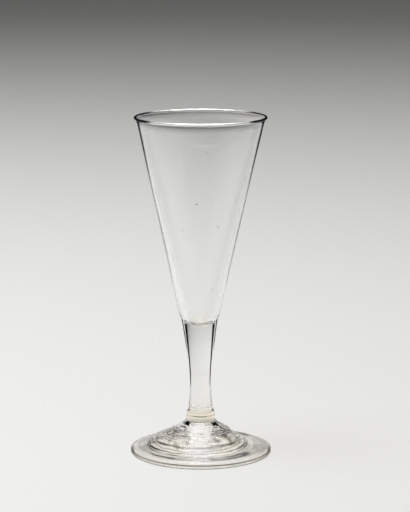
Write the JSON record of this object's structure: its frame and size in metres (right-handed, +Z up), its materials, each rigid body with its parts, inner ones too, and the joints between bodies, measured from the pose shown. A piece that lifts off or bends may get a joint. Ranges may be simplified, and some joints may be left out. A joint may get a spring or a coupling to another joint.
{
  "type": "champagne glass",
  "caption": "Clear hand-blown champagne glass with a conical bowl, rolled rim, solid waisted stem, ringed collar and stepped, domed foot, for serving sparkling wine.",
  "frame": {"origin": "on the table, at the centre of the resting ring under the foot", "axes": "+Z up along the axis of the stem, from the foot to the rim; the glass is round about it, so +X and +Y are free"},
  "size_m": [0.078, 0.078, 0.187],
  "materials": {
    "bowl_glass": "clear blown glass with faint draw lines and a few seeds, fire-polished",
    "stem_glass": "clear solid glass, fire-polished, faintly drawn lengthwise",
    "collar_glass": "clear glass with a faint straw tint and tooling rings",
    "foot_glass": "clear glass with concentric tooling ripples, fire-polished edge",
    "scar_glass": "rough broken glass of a pontil scar"
  },
  "bodies": {
    "root": {"bowl": "bowl_glass", "stem": "stem_glass", "collar": "collar_glass", "foot": "foot_glass", "pontil_scar": "scar_glass"}
  },
  "joints": []
}
